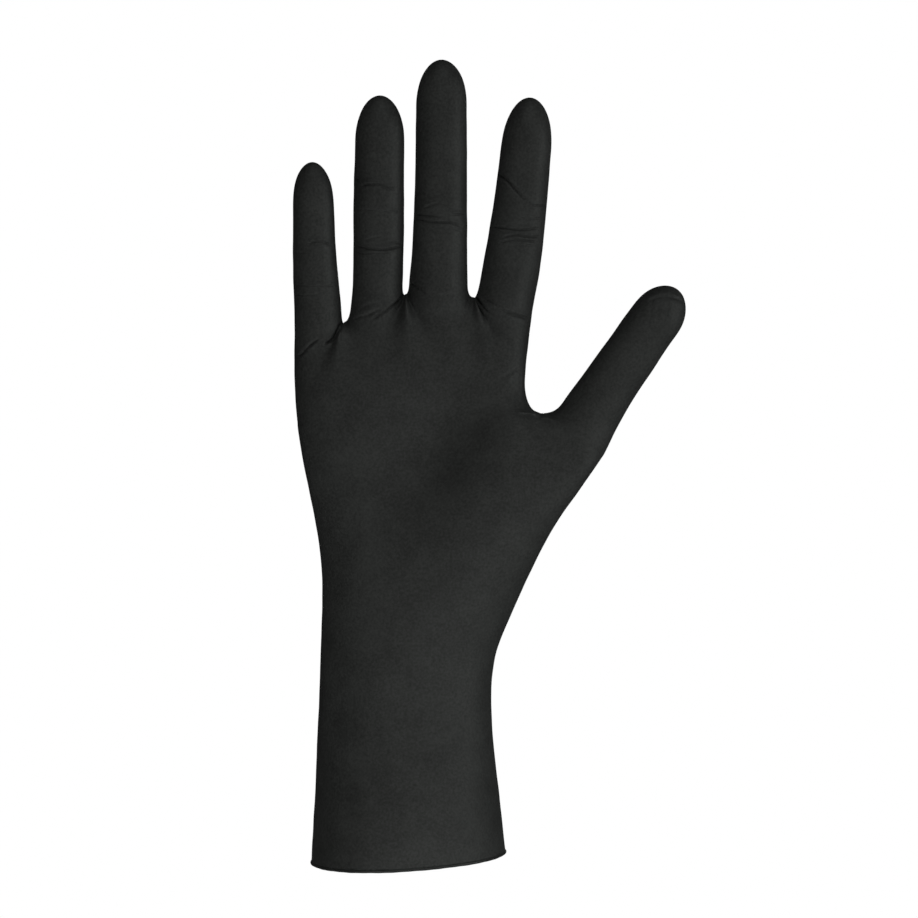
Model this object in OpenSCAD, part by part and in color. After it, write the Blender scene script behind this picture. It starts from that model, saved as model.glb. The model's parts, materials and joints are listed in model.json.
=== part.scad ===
// Disposable nitrile glove with an extended cuff, in the shape it takes when worn.
// +Z runs from the cuff opening to the fingertips, the palm faces -Y and the thumb
// points towards +X. The origin is the centre of the cuff opening. Millimetres.
// The glove is one dipped film. Here it is parted along the lines where it folds over
// the joints of the hand, so that each length of film can turn about its own knuckle.

/* [Film] */
// Thickness of the film
film_t = 0.15; // [0.1:0.05:0.4]
// Diameter of the rolled bead round the opening
bead_d = 1.4; // [0.8:0.1:2.4]

/* [Cuff and wrist] */
// Depth of the cuff opening, palm side to back
cuff_d = 66; // [56:1:76]
// How much higher the opening is on the thumb side than on the other
cuff_rise = 4.6; // [0:0.1:8]
// Height of the wrist crease above the opening
wrist_z = 64; // [58:1:70]
// Depth of the wrist, palm side to back
wrist_d = 45; // [38:1:52]
// Bend of the wrist each way from straight
wrist_bend = 40; // [10:5:45]

/* [Palm] */
// Depth of the palm in front of its middle plane, above the thumb's root
palm_front = 15; // [12:0.5:18]
// Depth of the hand behind its middle plane, above the thumb's root
palm_back = 14; // [11:0.5:17]
// Swell of the ball of the thumb
thenar_h = 4; // [0:0.5:6]
// Depth of the hollow in the palm
hollow_h = 4.5; // [0:0.5:6]

/* [Fingers: little, ring, middle, index] */
// Sideways place of each finger's root
root_x = [-34, -11.5, 11.1, 37.2]; // [-60:0.1:60]
// Height of each finger's root knuckle line
root_z = [205.5, 214, 215, 214]; // [190:0.5:230]
// Sideways place of each fingertip
tip_x = [-35.7, -10.4, 12.2, 45.2]; // [-60:0.1:60]
// Height of each fingertip
tip_z = [259.3, 284.4, 297.5, 283.7]; // [240:0.1:320]
// Half width of each finger at its root
root_half = [8.75, 9.35, 10.8, 10.4]; // [7:0.05:12]
// Half width of each finger at its middle knuckle
mid_half = [8.3, 9.3, 9.8, 10]; // [6:0.05:12]
// Half width of each finger where its end begins to close
end_half = [7.4, 9.1, 9.3, 9.3]; // [6:0.05:12]
// Bend of a finger at its root
root_bend = 60; // [30:5:60]
// Bend of a finger at its middle knuckle
mid_bend = 70; // [30:5:70]
// Bend of a finger at its tip knuckle
end_bend = 46; // [20:1:50]

/* [Thumb] */
// Middle of the thumb at its root knuckle
thumb_root = [66.2, -5, 163.7]; // [-20:0.1:200]
// End of the thumb
thumb_end = [99.4, -14, 212.9]; // [-20:0.1:240]
// Bend of the thumb at its root knuckle
thumb_root_bend = 30; // [10:5:30]
// Bend of the thumb at its tip knuckle
thumb_end_bend = 40; // [10:5:40]

/* [Hidden] */

FILM = "#2b2c2c";
BEAD = "#232424";
FOLD = "#202121";
THUMB = 4;                        // the thumb follows the four fingers in every list

gap = 0.2;                        // from a knuckle line to the film on either side
fold_gap = 0.5;                   // from a fold to the film that turns away from it
fold_dip = 0.7;                   // depth of the crease along the middle of a fold
fingers = 4;
span = 8;                         // steps across one digit, on the front or the back
crotch = fingers * span;          // step at which the thumb parts from the palm
wide = crotch + span;             // steps across the whole hand

// Edge of the hand on the little finger's side, as [height, place].
outer_edge = [
    [0, -36.2], [32, -34.5], [64, -33.2], [85, -32.4], [107, -32.6],
    [130, -36], [160, -41.4], [182, -42.6], [206, -42.7],
];
// Edge on the thumb's side, from the opening to the root of the thumb.
thumb_edge = [
    [0, 36.2], [32, 33], [50, 31.3], [64, 30.8], [78, 33],
    [92, 39], [122, 53.3], [137, 63.6], [150.3, 73],
];
// Edge of the palm between the thumb and the index finger.
index_edge = [[165.7, 50.2], [167, 46.8], [172, 44.3], [178, 43.8], [204, 46.2]];
crotch_at = [50.2, -2.5, 165.7];
crotch_end = [73, -5, 150.3];
outer_top = 162;                  // height of the outer edge level with the crotch

// The bottoms of the gaps between the fingers, with the two outer sides of the hand.
webs = [[-42.7, 196], [-24.1, 197.9], [-1.3, 208.7], [24.3, 208], [46.2, 204]];
web_sag = 7;                      // drop of the web line over the middle of a finger

finger_depth = 0.93;              // depth of a finger over its width
curl = [4, 6, 7, 6];              // how far each fingertip leans towards the palm
bow = [-0.35, 0, 0.5, 1];         // sideways bow of each finger
mid_at = [0.28, 0.245, 0.3, 0.3]; // middle knuckle, as a part of the finger's length
end_at = [0.575, 0.54, 0.595, 0.575];
end_len = [13, 15, 14, 16];       // length over which each end closes
thumb_half = [11.5, 10.4, 9.9];
thumb_mid_at = 0.48;
thumb_end_len = 12;
thumb_fold_turn = 40;             // turn of the thumb's fold from the plane of the hand

function unit(v) = v / norm(v);
function mix(a, b, t) = a + (b - a) * t;
function clip(t) = min(1, max(0, t));
function ease(t) = let (c = clip(t)) c * c * (3 - 2 * c);
function dome(q, power = 2) = pow(max(0, 1 - pow(min(1, abs(q)), power)), 1 / power);
function bump(x, z, at, size) = exp(-pow((x - at[0]) / size[0], 2) - pow((z - at[1]) / size[1], 2));

// Smooth curve through [key, value] pairs.
function slope(list, i) =
    let (a = max(0, i - 1), b = min(len(list) - 1, i + 1))
    (list[b][1] - list[a][1]) / (list[b][0] - list[a][0]);
function curve(list, x, i = 0) =
    i < len(list) - 2 && x > list[i + 1][0] ? curve(list, x, i + 1) :
    let (w = list[i + 1][0] - list[i][0], t = clip((x - list[i][0]) / w), u = 1 - t)
    list[i][1] * u * u * (1 + 2 * t) + list[i + 1][1] * t * t * (3 - 2 * t)
        + w * t * u * (slope(list, i) * u - slope(list, i + 1) * t);

// ---- a film solid from a grid of outer points and the matching inner points ----

function tris(quad) = [[quad[2], quad[1], quad[0]], [quad[3], quad[2], quad[0]]];
// Quads face outwards; each edge of the rim runs against the quad that it bounds.
module shell(outer, inner, quads, rim, caps = []) {
    n = len(outer);
    walls = concat(
        quads,
        [for (q = quads) [q[0] + n, q[3] + n, q[2] + n, q[1] + n]],
        [for (e = rim) [e[0], e[1], e[1] + n, e[0] + n]]
    );
    faces = concat(
        [for (q = walls) for (t = tris(q)) t],
        [for (t = caps) [t[2], t[1], t[0]]],
        [for (t = caps) [t[0] + n, t[1] + n, t[2] + n]]
    );
    polyhedron(points = concat(outer, inner), faces = faces, convexity = 10);
}

function flat(rows) = [for (row = rows) for (p = row) p];

// A tube, or a patch when it is not closed round. An end point closes the last row.
module film(outer, inner, closed = true, end = [], end_inner = []) {
    rows = len(outer);
    cols = len(outer[0]);
    steps = closed ? cols : cols - 1;
    last = rows - 1;
    tip = rows * cols;
    function id(r, c) = r * cols + c % cols;
    quads = [
        for (r = [0:last - 1]) for (c = [0:steps - 1])
            [id(r, c), id(r, c + 1), id(r + 1, c + 1), id(r + 1, c)]
    ];
    capped = len(end) > 0;
    rim = concat(
        [for (c = [0:steps - 1]) [id(0, c + 1), id(0, c)]],
        capped ? [] : [for (c = [0:steps - 1]) [id(last, c), id(last, c + 1)]],
        closed ? [] : [for (r = [0:last - 1]) [r * cols, (r + 1) * cols]],
        closed ? [] : [for (r = [0:last - 1]) [(r + 2) * cols - 1, (r + 1) * cols - 1]]
    );
    caps = capped ? [for (c = [0:steps - 1]) [id(last, c), id(last, c + 1), tip]] : [];
    shell(
        concat(flat(outer), capped ? [end] : []),
        concat(flat(inner), capped ? [end_inner] : []),
        quads, rim, caps
    );
}

// ---- the digits: one smooth surface each, by length from the root and turn ----

function root_of(d) = d == THUMB ? thumb_root : [root_x[d], 0, root_z[d]];
function end_of(d) = d == THUMB ? thumb_end : [tip_x[d], -curl[d], tip_z[d]];
function digit_len(d) = norm(end_of(d) - root_of(d));
function digit_mid(d, l) =
    let (q = l / digit_len(d), a = root_of(d), b = end_of(d), side = d == THUMB ? 0 : bow[d])
    [mix(a[0], b[0], q) + 4 * side * q * (1 - q), mix(a[1], b[1], q * abs(q)), mix(a[2], b[2], q)];
function digit_axis(d, l) = unit(digit_mid(d, l + 1) - digit_mid(d, l - 1));
function digit_side(d, l) = let (u = digit_axis(d, l)) unit([u[2], 0, -u[0]]);
function digit_palmar(d, l) = cross(digit_side(d, l), digit_axis(d, l));
function knuckles(d) =
    d == THUMB ? [0, thumb_mid_at * digit_len(d)] :
    [0, mid_at[d] * digit_len(d), end_at[d] * digit_len(d)];
function end_length(d) = d == THUMB ? thumb_end_len : end_len[d];
function widths(d) =
    let (full = digit_len(d), ks = knuckles(d), half = d == THUMB ? thumb_half :
        [root_half[d], mid_half[d], end_half[d]])
    [[0, half[0]], [ks[1], half[1]], [full - end_length(d), half[2]]];
function digit_half(d, l) =
    let (start = digit_len(d) - end_length(d))
    curve(widths(d), min(l, start)) * dome(max(0, l - start) / end_length(d));
function spoke(d, l, turn) =
    let (a = digit_half(d, l))
    a * cos(turn) * digit_side(d, l) + finger_depth * a * sin(turn) * digit_palmar(d, l);
function on_digit(d, l, turn) = digit_mid(d, l) + spoke(d, l, turn);
function out_of(d, l, turn) = unit(cross(
    on_digit(d, l, turn - 1) - on_digit(d, l, turn + 1),
    on_digit(d, l + 0.05, turn) - on_digit(d, l - 0.05, turn)));

// The side towards which a digit bends, and the film cut away there so that it can.
function fold_turn(d) = d == THUMB ? 180 - thumb_fold_turn : 90;
function fold_side(d, l) =
    cos(fold_turn(d)) * digit_side(d, l) + sin(fold_turn(d)) * digit_palmar(d, l);
function notch(d, l, turn, bend) =
    gap + max(0, spoke(d, l, turn) * fold_side(d, l)) * tan(bend / 2);
function bends(d) = d == THUMB ? [thumb_root_bend, thumb_end_bend] : [root_bend, mid_bend, end_bend];
function turns() = [for (i = [0:2 * span - 1]) 180 - 180 * i / span];

// Film between two knuckles.
module digit_length(d, i, rows = 4) {
    a = knuckles(d)[i];
    b = knuckles(d)[i + 1];
    places = [
        for (r = [0:rows]) [for (t = turns())
            mix(a + notch(d, a, t, bends(d)[i]), b - notch(d, b, t, bends(d)[i + 1]), r / rows)]
    ];
    film(
        [for (row = places) [for (c = [0:len(row) - 1]) on_digit(d, row[c], turns()[c])]],
        [for (row = places) [for (c = [0:len(row) - 1])
            on_digit(d, row[c], turns()[c]) - film_t * out_of(d, row[c], turns()[c])]]
    );
}

// Film from the last knuckle to the closed end.
module digit_end(d, rows = 3, end_rows = 5) {
    last = len(knuckles(d)) - 1;
    a = knuckles(d)[last];
    start = digit_len(d) - end_length(d);
    fan = 78;
    places = concat(
        [for (r = [0:rows]) [for (t = turns())
            mix(a + notch(d, a, t, bends(d)[last]), start, r / rows)]],
        [for (r = [1:end_rows]) [for (t = turns())
            start + end_length(d) * sin(fan * r / end_rows)]]
    );
    tip = digit_mid(d, digit_len(d));
    film(
        [for (row = places) [for (c = [0:len(row) - 1]) on_digit(d, row[c], turns()[c])]],
        [for (row = places) [for (c = [0:len(row) - 1])
            on_digit(d, row[c], turns()[c]) - film_t * out_of(d, row[c], turns()[c])]],
        end = tip, end_inner = tip - film_t * digit_axis(d, digit_len(d))
    );
}

// The creased film on the inside of a bend, held by the length below it.
module digit_fold(d, i, rows = 4) {
    at = knuckles(d)[i];
    bend = bends(d)[i];
    reach = 70;
    mine = [for (t = turns()) if (abs(t - fold_turn(d)) <= reach) t];
    function place(r, t) =
        let (h = notch(d, at, t, bend)) mix(at - h, at + h - fold_gap, r / rows);
    function dip(r) = fold_dip * pow(sin(180 * r / rows), 2);
    function skin(r, t, deep) =
        on_digit(d, place(r, t), t) - (dip(r) + deep) * out_of(d, place(r, t), t);
    film(
        [for (r = [0:rows]) [for (t = mine) skin(r, t, 0)]],
        [for (r = [0:rows]) [for (t = mine) skin(r, t, film_t)]],
        closed = false
    );
}

// ---- the cuff: an oval tube whose depth eases from the opening to the wrist ----

function across(c) = 180 - 180 * c / wide;
function sleeve_half(z) = (curve(thumb_edge, z) - curve(outer_edge, z)) / 2;
function sleeve_mid(z) = (curve(thumb_edge, z) + curve(outer_edge, z)) / 2;
function sleeve_depth(z) = mix(cuff_d, wrist_d, ease(z / wrist_z)) / 2;
function on_sleeve(z, turn) =
    let (x = sleeve_half(z) * cos(turn), lean = max(0, 1 - z / wrist_z))
    [x + sleeve_mid(z), -sleeve_depth(z) * sin(turn), z + lean * cuff_rise / 2 * cos(turn)];
function out_of_sleeve(z, turn) = unit(cross(
    on_sleeve(z, turn - 1) - on_sleeve(z, turn + 1),
    on_sleeve(z + 0.5, turn) - on_sleeve(z - 0.5, turn)));
function wrist_notch(turn) = gap + wrist_d / 2 * abs(sin(turn)) * tan(wrist_bend / 2);
sleeve_turns = [for (c = [0:2 * wide - 1]) across(c)];
bead_top = sqrt(bead_d * bead_d - film_t * film_t) / 2;

module cuff_sleeve(rows = 6) {
    places = [for (r = [0:rows]) [for (t = sleeve_turns)
        mix(bead_top, wrist_z - wrist_notch(t), r / rows)]];
    color(FILM) film(
        [for (row = places) [for (c = [0:len(row) - 1]) on_sleeve(row[c], sleeve_turns[c])]],
        [for (row = places) [for (c = [0:len(row) - 1])
            on_sleeve(row[c], sleeve_turns[c]) - film_t * out_of_sleeve(row[c], sleeve_turns[c])]]
    );
}

// The bead is the film's edge rolled up on itself, a ring that the sleeve stands on.
module cuff_bead(round = 9) {
    start = asin(film_t / bead_d);
    function section(t) =
        let (
            o = on_sleeve(bead_top, t), out = out_of_sleeve(bead_top, t),
            up = unit([0, 0, 1] - out * out[2]),
            mid = o - film_t / 2 * out - bead_top * up
        )
        [for (i = [0:round]) let (a = mix(start, 360 - start, i / round))
            mid + bead_d / 2 * (cos(a) * up + sin(a) * out)];
    ring = [for (t = sleeve_turns) section(t)];
    n = round + 1;
    loops = len(ring);
    faces = [
        for (m = [0:loops - 1]) for (i = [0:n - 1])
            for (t = tris([m * n + i, m * n + (i + 1) % n,
                (m + 1) % loops * n + (i + 1) % n, (m + 1) % loops * n + i])) t
    ];
    color(BEAD) polyhedron(points = flat(ring), faces = faces, convexity = 4);
}

// The slack film in front of the wrist (side 1) and behind it (side -1).
module wrist_fold(side, rows = 6) {
    reach = 66;
    mine = [for (t = sleeve_turns) if (abs(t - side * 90) <= reach) t];
    function place(r, t) =
        let (h = wrist_notch(t)) mix(wrist_z - h, wrist_z + h - fold_gap, r / rows);
    function dip(r) = fold_dip * pow(sin(360 * r / rows), 2);
    function skin(r, t, deep) =
        on_sleeve(place(r, t), t) - (dip(r) + deep) * out_of_sleeve(place(r, t), t);
    color(FOLD) film(
        [for (r = [0:rows]) [for (t = mine) skin(r, t, 0)]],
        [for (r = [0:rows]) [for (t = mine) skin(r, t, film_t)]],
        closed = false
    );
}
module wrist_fold_front() { wrist_fold(1); }
module wrist_fold_back() { wrist_fold(-1); }

// ---- the palm: one film with six openings, at the wrist and at each digit ----

// Loops run along the front from the outer edge to the thumb's side and return along
// the back, so a loop that is n steps wide has 2 n points.
function step_of(m, n) = m <= n ? m : 2 * n - m;
function face_of(m, n) = m <= n ? 1 : -1;

function web_x(c) =
    let (k = min(fingers - 1, floor(c / span)), j = c - k * span)
    mix(webs[k][0], webs[k + 1][0], (1 - cos(180 * j / span)) / 2);
function web_z(c) =
    let (k = min(fingers - 1, floor(c / span)), j = c - k * span)
    mix(webs[k][1], webs[k + 1][1], j / span) - web_sag * sin(180 * j / span);
function web_depth(c) =
    let (k = min(fingers - 1, floor(c / span)), j = c - k * span)
    finger_depth * root_half[k] * sin(180 * j / span);

// Level with the crotch the palm and the thumb are two lobes side by side.
crotch_left = curve(outer_edge, outer_top);
function crotch_x(c) =
    c <= crotch ? mix(crotch_left, crotch_at[0], (web_x(c) - webs[0][0]) / (webs[fingers][0] - webs[0][0])) :
    mix(crotch_at[0], crotch_end[0], (1 - cos(180 * (c - crotch) / span)) / 2);
function crotch_z(c) =
    c <= crotch ? mix(outer_top, crotch_at[2], (crotch_x(c) - crotch_left) / (crotch_at[0] - crotch_left)) :
    mix(crotch_at[2], crotch_end[2], (crotch_x(c) - crotch_at[0]) / (crotch_end[0] - crotch_at[0]));
function crotch_depth(c, face) =
    c <= crotch ? (face > 0 ? palm_front : palm_back)
        * dome(2 * (crotch_x(c) - crotch_left) / (crotch_at[0] - crotch_left) - 1, 2.6) :
    finger_depth * thumb_half[0] * sin(180 * (c - crotch) / span);
function crotch_mid(c) = thumb_root[1] * ease((c / wide - 0.55) / 0.4);

// How far a lobed section has taken over from the single one below it.
function parting(t, from) = 1 - dome(clip((t - from) / (1 - from)));
function relief(x, z, face) = face < 0 ? 0 :
    thenar_h * bump(x, z, [37, 112], [13, 26]) - hollow_h * bump(x, z, [8, 146], [15, 22]);

// From the wrist up to the crotch of the thumb.
function low_point(t, c, face) =
    let (
        turn = across(c),
        start_z = wrist_z + wrist_notch(turn),
        start = on_sleeve(start_z, face * turn),
        z = mix(start_z, crotch_z(c), t),
        left = curve(outer_edge, mix(wrist_z + gap, outer_top, t)),
        right = curve(thumb_edge, mix(wrist_z + gap, crotch_end[2], t)),
        across_end = 2 * (crotch_x(c) - crotch_left) / (crotch_end[0] - crotch_left) - 1,
        s = mix(cos(turn), across_end, t),
        x = mix(left, right, (1 + s) / 2),
        one = mix(wrist_d / 2, face > 0 ? palm_front + 1 : palm_back, pow(t, 0.7)) * dome(s, mix(2, 2.5, t)),
        deep = mix(one, crotch_depth(c, face), parting(t, 0.72)),
        y = crotch_mid(c) * t - face * (deep + relief(x, z, face) * dome(s) * min(1, 4 * t * (1.2 - t)))
    )
    t == 0 ? start : [x, y, z];

// From the crotch up to the webs between the fingers.
function high_point(t, c, face) =
    let (
        left = curve(outer_edge, mix(outer_top, webs[0][1], t)),
        right = curve(index_edge, mix(crotch_at[2], webs[fingers][1], t)),
        s = mix((crotch_x(c) - crotch_left) / (crotch_at[0] - crotch_left),
            (web_x(c) - webs[0][0]) / (webs[fingers][0] - webs[0][0]), t),
        x = mix(left, right, s),
        z = mix(crotch_z(c), web_z(c), t),
        full = mix(face > 0 ? palm_front : palm_back, finger_depth * 11, t) * dome(2 * s - 1, 2.6),
        deep = mix(full, web_depth(c), parting(t, 0.6)),
        y = crotch_mid(c) * (1 - t) - face * (deep + relief(x, z, face) * (1 - t))
    )
    [x, y, z];

function ladder(stops, n, place) = [for (t = stops) [for (m = [0:2 * n - 1])
    place(t, step_of(m, n), face_of(m, n))]];

low_stops = [0, 0.17, 0.34, 0.5, 0.65, 0.78, 0.89, 0.96, 1];
high_stops = [0, 0.06, 0.2, 0.4, 0.6, 0.76, 0.88, 0.96, 1];
stub_rows = 3;
low = ladder(low_stops, wide, function(t, c, face) low_point(t, c, face));
high = ladder(high_stops, crotch, function(t, c, face) high_point(t, c, face));
low_last = len(low) - 1;
high_last = len(high) - 1;

// A stub carries a loop of the palm up to the knuckle line of a digit.
function cut_at(d, m) = -notch(d, 0, turns()[m], bends(d)[0]);
function stub(d, start) = [for (r = [0:stub_rows]) [for (m = [0:2 * span - 1])
    mix(start[m], on_digit(d, cut_at(d, m), turns()[m]), r / stub_rows)]];
function on_high(k, m) = m <= span ? k * span + m : (2 * crotch - k * span - (2 * span - m)) % (2 * crotch);
function on_low(m) = m <= span ? crotch + m : 2 * wide - crotch - (2 * span - m);
stubs = [for (d = [0:THUMB]) stub(d, [for (m = [0:2 * span - 1])
    d == THUMB ? low[low_last][on_low(m)] : high[high_last][on_high(d, m)]])];

function loop_out(rows, r, m) =
    let (n = len(rows[0]), a = max(0, r - 1), b = min(len(rows) - 1, r + 1))
    unit(cross(rows[r][(m + 1) % n] - rows[r][(m + n - 1) % n], rows[b][m] - rows[a][m]));
function at_crotch(m) = m == crotch || m == 2 * wide - crotch;
function at_web(m) = step_of(m, crotch) % span == 0 && m % crotch != 0;
crotch_out = unit([0.3, 0, 1]);
low_inner = [for (r = [0:low_last]) [for (m = [0:2 * wide - 1])
    low[r][m] - film_t * (r == low_last && at_crotch(m) ? crotch_out :
        r == 0 ? out_of_sleeve(low[0][m][2], sleeve_turns[m]) : loop_out(low, r, m))]];
high_inner = [for (r = [1:high_last]) [for (m = [0:2 * crotch - 1])
    high[r][m] - film_t * (r == high_last && at_web(m) ? [0, 0, 1] : loop_out(high, r, m))]];
stub_inner = [for (d = [0:THUMB]) [for (r = [1:stub_rows]) [for (m = [0:2 * span - 1])
    stubs[d][r][m] - film_t * (r == stub_rows ? out_of(d, cut_at(d, m), turns()[m]) :
        loop_out(stubs[d], r, m))]]];

high_base = len(low) * 2 * wide;
stub_base = high_base + high_last * 2 * crotch;
function low_id(r, m) =
    let (w = m % (2 * wide)) r * 2 * wide + (r == low_last && at_crotch(w) ? crotch : w);
function high_id(r, m) =
    let (w = m % (2 * crotch))
    r == 0 ? low_id(low_last, w <= crotch ? w : 2 * wide - 2 * crotch + w) :
    high_base + (r - 1) * 2 * crotch + (r == high_last && at_web(w) ? step_of(w, crotch) : w);
function stub_id(d, r, m) =
    let (w = m % (2 * span))
    r > 0 ? stub_base + (d * stub_rows + r - 1) * 2 * span + w :
    d == THUMB ? low_id(low_last, on_low(w)) : high_id(high_last, on_high(d, w));
function weave(rows, n, id) = [
    for (r = [0:rows - 1]) for (m = [0:2 * n - 1])
        [id(r, m), id(r, m + 1), id(r + 1, m + 1), id(r + 1, m)]
];

module palm_shell() {
    color(FILM) shell(
        concat(flat(low), flat([for (r = [1:high_last]) high[r]]),
            [for (s = stubs) for (r = [1:stub_rows]) for (p = s[r]) p]),
        concat(flat(low_inner), flat(high_inner), [for (s = stub_inner) for (row = s) for (p = row) p]),
        concat(
            weave(low_last, wide, function(r, m) low_id(r, m)),
            weave(high_last, crotch, function(r, m) high_id(r, m)),
            [for (d = [0:THUMB]) for (q = weave(stub_rows, span, function(r, m) stub_id(d, r, m))) q]
        ),
        concat(
            [for (m = [0:2 * wide - 1]) [low_id(0, m + 1), low_id(0, m)]],
            [for (d = [0:THUMB]) for (m = [0:2 * span - 1])
                [stub_id(d, stub_rows, m), stub_id(d, stub_rows, m + 1)]]
        )
    );
}

cuff_bead();
cuff_sleeve();
wrist_fold_front();
wrist_fold_back();
palm_shell();
color(FILM) digit_length(0, 0);  // little_proximal
color(FILM) digit_length(0, 1);  // little_middle
color(FILM) digit_end(0);  // little_tip
color(FOLD) digit_fold(0, 0);  // little_root_fold
color(FOLD) digit_fold(0, 1);  // little_mid_fold
color(FOLD) digit_fold(0, 2);  // little_tip_fold
color(FILM) digit_length(1, 0);  // ring_proximal
color(FILM) digit_length(1, 1);  // ring_middle
color(FILM) digit_end(1);  // ring_tip
color(FOLD) digit_fold(1, 0);  // ring_root_fold
color(FOLD) digit_fold(1, 1);  // ring_mid_fold
color(FOLD) digit_fold(1, 2);  // ring_tip_fold
color(FILM) digit_length(2, 0);  // middle_proximal
color(FILM) digit_length(2, 1);  // middle_middle
color(FILM) digit_end(2);  // middle_tip
color(FOLD) digit_fold(2, 0);  // middle_root_fold
color(FOLD) digit_fold(2, 1);  // middle_mid_fold
color(FOLD) digit_fold(2, 2);  // middle_tip_fold
color(FILM) digit_length(3, 0);  // index_proximal
color(FILM) digit_length(3, 1);  // index_middle
color(FILM) digit_end(3);  // index_tip
color(FOLD) digit_fold(3, 0);  // index_root_fold
color(FOLD) digit_fold(3, 1);  // index_mid_fold
color(FOLD) digit_fold(3, 2);  // index_tip_fold
color(FILM) digit_length(THUMB, 0);  // thumb_proximal
color(FILM) digit_end(THUMB);  // thumb_tip
color(FOLD) digit_fold(THUMB, 0);  // thumb_root_fold
color(FOLD) digit_fold(THUMB, 1);  // thumb_tip_fold
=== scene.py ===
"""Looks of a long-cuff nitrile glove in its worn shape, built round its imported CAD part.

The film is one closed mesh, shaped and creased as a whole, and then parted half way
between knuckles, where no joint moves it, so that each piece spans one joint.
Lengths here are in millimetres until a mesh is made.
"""

import json
import math

import bpy
import numpy as np
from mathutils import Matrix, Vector

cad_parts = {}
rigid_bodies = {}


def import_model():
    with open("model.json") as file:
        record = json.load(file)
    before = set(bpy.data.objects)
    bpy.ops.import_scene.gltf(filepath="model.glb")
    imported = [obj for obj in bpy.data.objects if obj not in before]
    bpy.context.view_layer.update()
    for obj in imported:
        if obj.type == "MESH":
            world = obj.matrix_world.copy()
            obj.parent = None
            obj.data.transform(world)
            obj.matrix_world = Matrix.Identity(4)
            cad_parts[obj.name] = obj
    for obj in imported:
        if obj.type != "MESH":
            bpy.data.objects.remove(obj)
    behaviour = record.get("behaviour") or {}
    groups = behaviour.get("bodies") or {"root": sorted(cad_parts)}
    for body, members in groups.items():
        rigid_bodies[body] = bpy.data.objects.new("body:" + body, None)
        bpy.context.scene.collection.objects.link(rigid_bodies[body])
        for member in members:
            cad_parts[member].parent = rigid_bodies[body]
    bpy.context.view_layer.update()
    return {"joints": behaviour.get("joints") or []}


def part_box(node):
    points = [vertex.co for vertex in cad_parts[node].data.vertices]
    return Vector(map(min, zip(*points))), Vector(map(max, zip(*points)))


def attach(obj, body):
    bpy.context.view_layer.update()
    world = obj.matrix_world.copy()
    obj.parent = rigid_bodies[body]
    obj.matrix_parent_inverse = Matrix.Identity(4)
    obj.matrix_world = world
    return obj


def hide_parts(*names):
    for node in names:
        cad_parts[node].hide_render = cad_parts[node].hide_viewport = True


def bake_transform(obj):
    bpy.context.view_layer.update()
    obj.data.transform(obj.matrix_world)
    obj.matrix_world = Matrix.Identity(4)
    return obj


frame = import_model()

MM = 0.001
FILM = 0.15  # thickness of the film
BEAD = 1.4  # diameter of the rolled bead
SPAN = 11  # steps across one digit, on the front or the back
FINGERS = 4
CROTCH = FINGERS * SPAN  # step at which the thumb parts from the palm
WIDE = CROTCH + SPAN  # steps across the whole hand

JOINTS = {j["name"]: j for j in frame["joints"]}


def joint_at(name):
    """Where a joint of the CAD part is."""
    return np.array(JOINTS[name]["pos_m"]) / MM


def box_mm(node):
    """Low and high corner of a node of the CAD part."""
    low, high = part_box(node)
    return np.array(low) / MM, np.array(high) / MM


WRIST = joint_at("wrist_bend")[2]
SLEEVE_LOW, SLEEVE_HIGH = box_mm("cuff_sleeve")
PALM_LOW, PALM_HIGH = box_mm("palm_shell")
CUFF_DEPTH = SLEEVE_HIGH[1] - SLEEVE_LOW[1]
WRIST_DEPTH = PALM_HIGH[1] - PALM_LOW[1]
CUFF_RISE = 4.6  # how much higher the opening is on the thumb's side
CUFF_WIDTH = 72  # width of the opening


# ---- small maths ----


def unit(v):
    """A vector of length 1 that points the same way."""
    return v / np.linalg.norm(v)


def mix(a, b, t):
    """The value a part t of the way from a to b."""
    return a + (b - a) * t


def ease(t):
    """From 0 to 1 with a soft start and end, for numbers or arrays."""
    t = np.clip(t, 0, 1)
    return t * t * (3 - 2 * t)


def eased(t):
    """The same as a plain number."""
    return float(ease(t))


def dome(q, power=2.0):
    """Height of an arch that spans q from -1 to 1: round at power 2, squarer above it."""
    return (1 - min(1.0, abs(q)) ** power) ** (1 / power)


def slope(keys, i):
    """Slope of the curve through (place, value) pairs at pair i."""
    a, b = max(0, i - 1), min(len(keys) - 1, i + 1)
    return (keys[b][1] - keys[a][1]) / (keys[b][0] - keys[a][0])


def curve(keys, x):
    """A smooth curve through (place, value) pairs."""
    i = 0
    while i < len(keys) - 2 and x > keys[i + 1][0]:
        i += 1
    w = keys[i + 1][0] - keys[i][0]
    t = min(1.0, max(0.0, (x - keys[i][0]) / w))
    u = 1 - t
    ends = keys[i][1] * u * u * (1 + 2 * t) + keys[i + 1][1] * t * t * (3 - 2 * t)
    return ends + w * t * u * (slope(keys, i) * u - slope(keys, i + 1) * t)


# ---- the outline of the hand, seen from the palm side ----

# Edges, as (height, place across).
OUTER_EDGE = [(0, -36.2), (32, -34.5), (64, -33.2), (85, -32.4), (107, -32.6)]
OUTER_EDGE += [(130, -36), (160, -41.4), (182, -42.6), (206, -42.7)]
THUMB_EDGE = [(0, 36.2), (32, 33), (50, 31.3), (64, 30.8), (78, 33)]
THUMB_EDGE += [(92, 39), (122, 53.3), (137, 63.6), (150.3, 72.7)]
INDEX_EDGE = [(165.6, 49.3), (166.6, 46.6), (171, 44.2), (178, 43.7), (204, 46.2)]

# The line that crosses the hand at the thumb's crotch, and then follows the thumb's root
# down to its outer edge.
OUTER_TOP = 162.0  # its height at the outer edge
CROTCH_AT = (49.3, 165.6)  # place across and height of the crotch
CROTCH_END = (72.7, 150.3)  # and of the line's end

# The line where the fingers part, as (place across, height) at its ends and at the webs.
WEBS = [(-42.7, 196), (-24.1, 200.2), (-1.3, 211.0), (24.3, 209.6), (46.2, 204)]
WEB_SAG = 7.0  # how far it dips between them

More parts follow.
